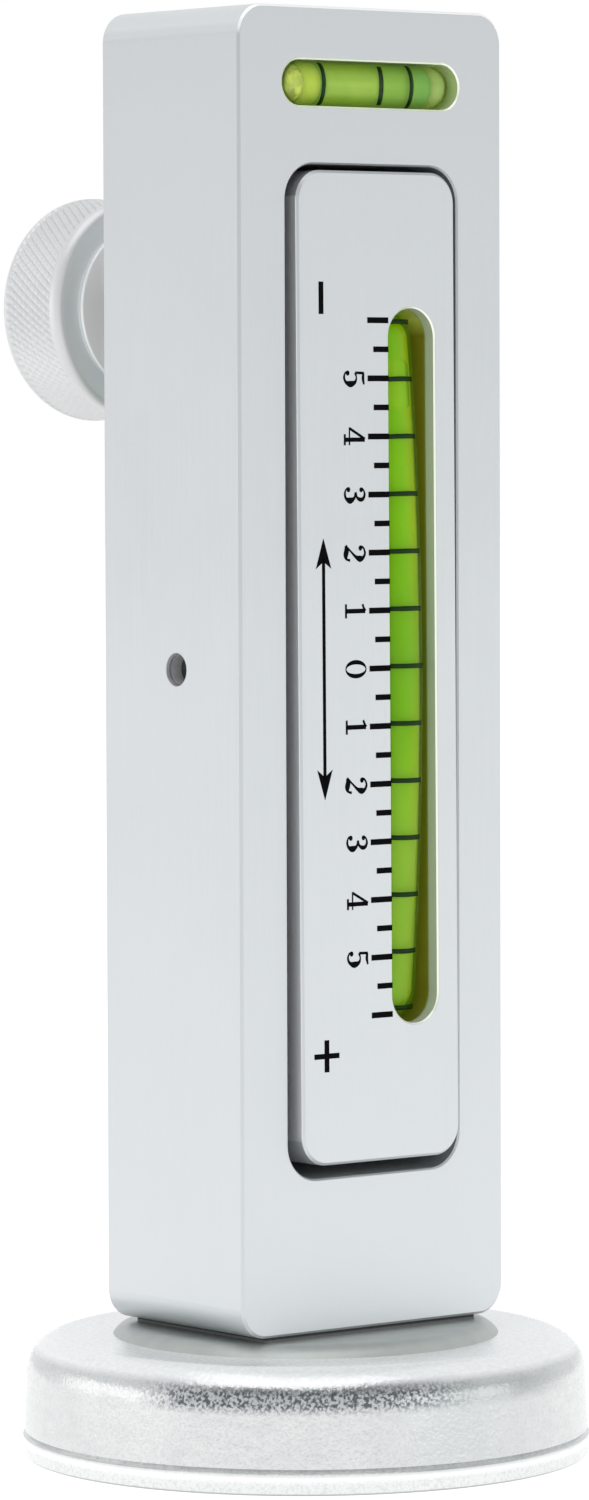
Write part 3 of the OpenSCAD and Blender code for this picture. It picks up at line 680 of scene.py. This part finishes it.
add_bent_vial("camber", True, CAMBER_SLOT,
              [(0.06 + k * CAMBER_LINE_STEP, 60 if k == 0 else 43) for k in range(-6, 7)])
add_bent_vial("caster", False, CASTER_SLOT,
              [(k * CASTER_STEP, 78 if k == 0 else 58) for k in range(-5, 6)])


# ---- cross vial ----

def on_cross(s, q, a):
    """point of the straight vial"""
    return CROSS + Vector((s, -q * sin(a), q * cos(a)))


def cross_ring(x, width, r, bow):
    """line round the front of the tube or of its bubble, bowed along the tube"""
    start, cols = 16, 25
    angles = [radians(start + (180 - 2 * start) * k / (cols - 1)) for k in range(cols)]
    return arc_line(x, width, r, 0.012, angles, lambda s, q, a: on_cross(s - bow * sin(a), q, a))


def add_cross_vial():
    tube_r, core_r, bubble_r = 2.45, 1.85, 1.93
    form = lathe(capsule(12.65, tube_r), on_cross)
    glass = piece("cross_glass", *form, tube, "bar_and_base", "clear_tube")
    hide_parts("cross_vial", "cross_plugs")
    half = 9.2
    profile = [(-half - 0.05, 0.02), (-half, core_r)]
    profile += [(-half + 2 * half * k / 20, core_r) for k in range(1, 20)]
    profile += [(half, core_r), (half + 0.05, 0.02)]
    core = piece("cross_core", *lathe(profile, on_cross), yellow, "bar_and_base", "yellow_liquid")
    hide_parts("cross_liquid")
    plug = [(9.26, 0.02), (9.3, 1.84), (10.6, 1.84), (11.4, 1.4), (11.9, 0.02)]
    plugs = join([lathe([(side * s, q) for s, q in plug], on_cross) for side in (-1, 1)])
    piece("cross_plug_bodies", *plugs, plug_clear, "bar_and_base", "clear_plug")
    profile = [(s - 2.18, q) for s, q in capsule(4.95, bubble_r, 14)]
    bubble = piece("cross_air_bubble", *lathe(profile, on_cross), cross_air, "cross_air", "bubble")
    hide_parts("cross_bubble")
    rim = cross_ring(2.92, 0.62, bubble_r + 0.04, 1.0)
    piece("cross_bubble_rims", *rim, ring_ink, "cross_air", "bubble")
    lines = join([cross_ring(x, 0.55, tube_r + 0.005, 0.8) for x in (-5.88, 6.85)])
    piece("cross_lines", *lines, ring_ink, "bar_and_base", "clear_tube")


add_cross_vial()


# ---- knob, screw and springs ----

def around_screw(y, r, a):
    return Vector((r * cos(a), y, SCREW_Z + r * sin(a)))


def turned(rows, cols, cut):
    """form round the screw's axis; a row has y and a radius, or None where cut gives it"""
    points = []
    for y, q in rows:
        for k in range(cols):
            radius = cut(y, k / cols) if q is None else q
            points.append(around_screw(y, radius, 2 * pi * k / cols))
    return points, flipped(grid_faces(len(rows), cols))


def knob_mesh():
    """knob with a crossed knurl, stronger one way than the other"""
    near = 27.95 + SHIFT                # its boss
    r, bevel = 13.05, 1.25
    ridges, slope, depth, fade_len = 84, tan(radians(32)), 0.38, 0.35
    start, end, steps = near + 2.3, near + 10.75, 72

    def wave(t):
        return abs((t % 1.0) - 0.5) * 2

    def knurl(y, part):
        fade = min(1, (y - start) / fade_len, (end - y) / fade_len)
        u = ridges * part
        v = ridges * (y - start) * slope / (2 * pi * r)
        height = min(wave(u + v), 0.45 + 0.55 * wave(u - v)) ** 0.8
        return r - depth * max(fade, 0) * (1 - height)

    rows = [(2.5, 3.0), (2.5, 5.4), (0.0, 5.4), (0.0, 9.6), (0.09, 9.81), (0.3, 9.9), (0.8, 9.9),
            (0.82, 10.0), (0.82, 11.6)]
    rows += [(0.8 + bevel * (1 - cos(t * pi / 12)), r - bevel * (1 - sin(t * pi / 12)))
             for t in range(1, 7)]
    tail = [(10.9, r - 0.02), (11.1, r - 0.05), (11.55, r - 0.42), (11.7, r - 0.75), (11.7, 9.0),
            (11.1, 8.4), (11.1, 3.0)]
    middle = [(start + (end - start) * k / steps, None) for k in range(steps + 1)]
    return turned([(near + y, q) for y, q in rows] + middle + [(near + y, q) for y, q in tail],
                  504, knurl)


knob = piece("knurled_knob", *knob_mesh(), knob_metal, "knob_and_screw", "knob_metal")
crisp(knob, 38)
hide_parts("knob")


def screw_mesh():
    """screw with its thread, and two lands beside the driver slot"""
    tip, floor, end = 6.41, 38.25 + SHIFT, 38.45 + 0.6 + SHIFT
    r, depth, chamfer = 3.0, 0.36, 0.4
    thread_end, rows_a_turn = 28.1, 10

    def thread(y, part):
        t = (y / THREAD_PITCH + part) % 1.0
        return r - depth * min(1, max(0, 1.25 - abs(t - 0.5) * 4))

    profile = [(tip, 0.02), (tip, 2.55), (tip + chamfer, 2.95)]
    steps = int((thread_end - tip - chamfer) / THREAD_PITCH * rows_a_turn)
    profile += [(tip + chamfer + THREAD_PITCH / rows_a_turn * k, None) for k in range(1, steps)]
    profile += [(28.15, r), (floor, r), (floor, 0.02)]
    points, faces = turned(profile, 48, thread)
    angles = [radians(10 + 160 * k / 20) for k in range(21)]
    for s in (1, -1):
        at, n = len(points), len(angles)
        for y in (floor - 0.01, end):
            points += [Vector((r * cos(t), y, SCREW_Z + s * r * sin(t))) for t in angles]
        faces.append(tuple(range(at + n, at + 2 * n)))
        faces += [(at + k, at + (k + 1) % n, at + n + (k + 1) % n, at + n + k) for k in range(n)]
    return points, faces


screw = piece("threaded_screw", *screw_mesh(), steel, "knob_and_screw", "steel")
crisp(screw, 35)
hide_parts("adjusting_screw")


def coil_mesh(y0, z, mean_r, wire_d, length, turns):
    """round wire coiled along +Y from y0"""
    per, sides = 28, 12
    rings = per * turns
    points = []
    rise = (length - wire_d) / rings
    slope = (length - wire_d) / (2 * pi * mean_r * turns)
    for i in range(rings + 1):
        a = 2 * pi * turns * i / rings
        out = Vector((cos(a), 0, sin(a)))
        side = Vector((sin(a) * slope, 1, -cos(a) * slope)).normalized()
        centre = Vector((0, y0 + wire_d / 2 + rise * i, z)) + out * mean_r
        for k in range(sides):
            b = 2 * pi * k / sides
            points.append(centre + wire_d / 2 * (cos(b) * out + sin(b) * side))
    faces = grid_faces(rings + 1, sides)
    faces += [tuple(range(sides - 1, -1, -1)), tuple(range(rings * sides, (rings + 1) * sides))]
    return points, faces


coil = coil_mesh(14.4, SCREW_Z, 4.4, 1.0, 16.05 + SHIFT, 6)
spring = piece("friction_coil", *coil, wire, "bar_and_base", "spring_steel")
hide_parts("friction_spring")
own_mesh(spring)
coil = coil_mesh(-0.8627, 46.85, 3.0, 0.8, 11.2627, 6)
spring = piece("return_coil", *coil, wire, "bar_and_base", "spring_steel")
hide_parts("return_spring")
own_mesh(spring)


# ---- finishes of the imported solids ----

FINISH = {
    bar: ["body_block"], block: ["scale_block"], cup: ["magnet_cup"], disc: ["spacer_disc"],
    steel: ["thrust_washer", "base_stud", "adjusting_screw"], pin_in_shade: ["pivot_pin"],
    ground: ["wear_pad", "thrust_ball", "centre_pole"], wire: ["friction_spring", "return_spring"],
    brass: ["screw_bush"], ferrite: ["magnet_ring"], resin: ["filler_ring"], rubber: ["gasket"],
    bed: ["camber_bed", "caster_bed", "cross_bed"], knob_metal: ["knob"],
    tube: ["camber_vial", "caster_vial", "cross_vial"],
    green: ["camber_liquid", "caster_liquid"], yellow: ["cross_liquid"],
    air: ["camber_bubble", "caster_bubble", "cross_bubble"],
    plug_clear: ["camber_plugs", "caster_plugs", "cross_plugs"],
}
for look, names in FINISH.items():
    for name in names:
        nodes[name].data.materials.clear()
        nodes[name].data.materials.append(look.m)


# ---- floor, world and lamps ----

def add_floor():
    """pale floor that glows when looked at, so that it stays white, and still takes the shadow"""
    side = 4
    mesh = bpy.data.meshes.new("floor")
    corners = [(-side, -side, 0), (side, -side, 0), (side, side, 0), (-side, side, 0)]
    mesh.from_pydata(corners, [], [(0, 1, 2, 3)])
    floor = bpy.data.objects.new("floor", mesh)
    floor.location.z = -0.02 * MM
    bpy.context.scene.collection.objects.link(floor)
    m = bpy.data.materials.new("floor")
    m.use_nodes = True
    t = m.node_tree
    t.nodes.clear()
    path = add_node(t, "ShaderNodeLightPath")
    plain = add_node(t, "ShaderNodeBsdfDiffuse", Color=(0.80, 0.80, 0.80, 1))
    seen = add_node(t, "ShaderNodeBsdfDiffuse", Color=(0.38, 0.38, 0.38, 1))
    glow = add_node(t, "ShaderNodeEmission", Strength=0.86)
    both = add_node(t, "ShaderNodeAddShader", i0=seen.outputs[0], i1=glow.outputs[0])
    looked_at = add_node(t, "ShaderNodeMath", {"operation": "MAXIMUM"},
                         i0=path.outputs["Is Camera Ray"], i1=path.outputs["Is Glossy Ray"])
    pick = add_node(t, "ShaderNodeMixShader", i0=looked_at.outputs[0], i1=plain.outputs[0],
                    i2=both.outputs[0])
    add_node(t, "ShaderNodeOutputMaterial", Surface=pick.outputs[0])
    mesh.materials.append(m)


def add_world():
    """pale studio with one darker part, high up on the camera's side; white to the camera"""
    world = bpy.data.worlds.new("studio")
    bpy.context.scene.world = world
    world.use_nodes = True
    t = world.node_tree
    t.nodes.clear()
    path = add_node(t, "ShaderNodeLightPath")
    place = add_node(t, "ShaderNodeTexCoord").outputs["Generated"]
    height = add_node(t, "ShaderNodeSeparateXYZ", i0=place).outputs[2]
    ramp = add_node(t, "ShaderNodeValToRGB", i0=height)
    stops = ((0.0, 0.97), (0.45, 0.90), (0.8, 0.80), (1.0, 0.75))
    elements = ramp.color_ramp.elements
    elements[0].position = stops[0][0]
    elements[1].position = stops[-1][0]
    for position, _ in stops[1:-1]:
        elements.new(position)
    for e, (position, v) in zip(elements, stops):
        e.position = position
        e.color = (v * 0.985, v, v * 1.01, 1)
    toward = add_node(t, "ShaderNodeVectorMath", {"operation": "DOT_PRODUCT"}, i0=place,
                      i1=(-0.2155, -0.2655, 0.9397)).outputs["Value"]
    edge = add_node(t, "ShaderNodeMapRange", {"interpolation_type": "SMOOTHSTEP"},
                    Value=toward, From_Min=0.72, From_Max=0.86)
    dark = mix_colors(t, edge.outputs[0], ramp.outputs[0], (0.42, 0.43, 0.44))
    studio = add_node(t, "ShaderNodeBackground", Color=dark)
    white = add_node(t, "ShaderNodeBackground", Color=(1, 1, 1, 1))
    pick = add_node(t, "ShaderNodeMixShader", i0=path.outputs["Is Camera Ray"],
                    i1=studio.outputs[0], i2=white.outputs[0])
    add_node(t, "ShaderNodeOutputWorld", Surface=pick.outputs[0])


def add_lamp(name, place, aim, size, power, color=(1, 1, 1)):
    """rectangular lamp that points at a place"""
    data = bpy.data.lights.new(name, "AREA")
    data.color = color
    data.shape = "RECTANGLE"
    data.size, data.size_y = size
    data.energy = power
    lamp = bpy.data.objects.new(name, data)
    lamp.location = place
    lamp.rotation_euler = (Vector(aim) - Vector(place)).to_track_quat("-Z", "Y").to_euler()
    bpy.context.scene.collection.objects.link(lamp)


add_floor()
add_world()
add_lamp("key", (-1.0, 0.72, 0.22), (0, 0, 0.04), (1.4, 0.5), 1.25, (1.0, 0.97, 0.94))
add_lamp("fill", (0.55, -1.1, 0.22), (0, 0, 0.04), (1.2, 0.5), 1.15)
add_lamp("top", (-0.2, -0.1, 1.1), (0, 0, 0), (1.0, 1.0), 3.7)
bpy.context.scene.view_settings.view_transform = "Standard"
